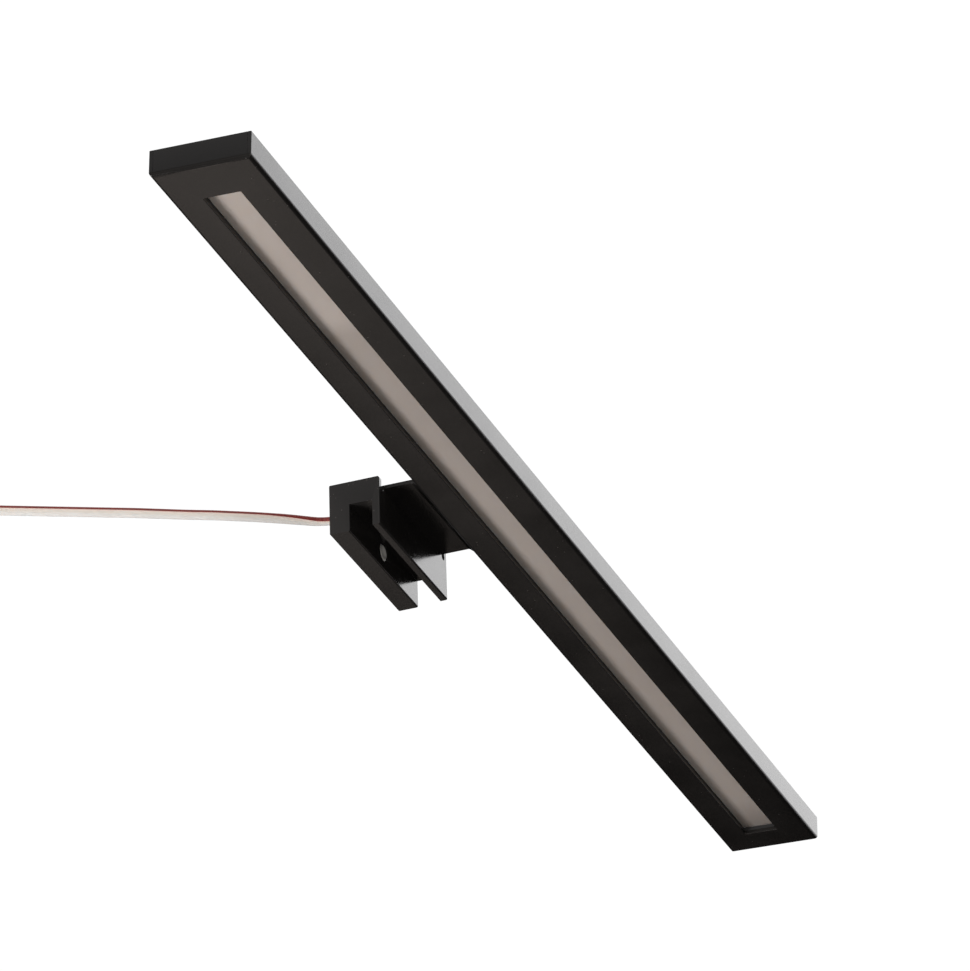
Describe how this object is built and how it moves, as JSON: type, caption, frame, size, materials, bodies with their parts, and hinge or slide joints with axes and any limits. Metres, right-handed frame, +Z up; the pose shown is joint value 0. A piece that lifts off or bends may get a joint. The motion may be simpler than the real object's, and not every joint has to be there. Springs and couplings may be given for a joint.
{
  "type": "picture light",
  "caption": "Slim black LED picture light: a folded-sheet light bar on a cranked arm, with a screw clamp that hangs over a panel's top edge and a thin twin cord.",
  "frame": {"origin": "middle of the clamp slot's ceiling, which rests on the top edge of the frame, mirror or panel that carries the light", "axes": "+X along the light bar, +Y from the room to the wall, +Z up"},
  "size_m": [0.45, 0.1865, 0.023],
  "materials": {
    "satin_black_sheet": "satin powder coat with a fine grain",
    "satin_black_clamp": "satin powder coat",
    "black_screw": "black oxide",
    "zinc_steel": "zinc plated",
    "opal_diffuser": "opal, unlit, slightly warm",
    "black_foam": "matt closed-cell foam",
    "white_board": "white solder mask",
    "board_tape": "thermal adhesive tape",
    "led_package": "white package with a yellow phosphor window",
    "resistor": "black film with tinned ends",
    "solder": "bright tin",
    "black_rubber": "matt",
    "black_nylon": "satin",
    "twin_cord": "translucent white PVC with one red edge",
    "screw_steel": "bright steel",
    "tip_steel": "turned steel",
    "white_nylon": "natural nylon",
    "contact_brass": "tinned brass"
  },
  "bodies": {
    "lamp": {"bar_housing": "satin_black_sheet", "bar_cover": "satin_black_sheet", "cover_standoffs": "zinc_steel", "cover_screws": "black_screw", "diffuser": "opal_diffuser", "diffuser_pads": "black_foam", "led_board": "white_board", "board_tape": "board_tape", "leds": "led_package", "resistors": "resistor", "solder_joints": "solder", "cover_grommet": "black_rubber", "arm": "satin_black_sheet", "arm_screws": "black_screw", "arm_nuts": "zinc_steel", "arm_lead": "twin_cord", "lead_clips": "black_nylon", "clamp_body": "satin_black_clamp", "clamp_screws": "black_screw", "cord_grommet": "black_rubber", "cord": "twin_cord", "cord_coil": "twin_cord", "coil_tie": "black_nylon", "plug": "white_nylon", "plug_contacts": "contact_brass"},
    "pressure_tip": {"screw_tip": "tip_steel"},
    "grub_screw": {"set_screw": "screw_steel"}
  },
  "joints": [
    {"name": "tip_travel", "type": "slide", "parent": "lamp", "child": "pressure_tip", "axis": [0, -1, 0], "range_m": [0, 0.0035]},
    {"name": "screw_turn", "type": "hinge", "parent": "pressure_tip", "child": "grub_screw", "pos_m": [0, 0.007, -0.003], "axis": [0, -1, 0], "range_deg": [0, 1260]}
  ],
  "couplings": [
    {"joint": "screw_turn", "follows": "tip_travel", "rad_per_m": 6283}
  ]
}
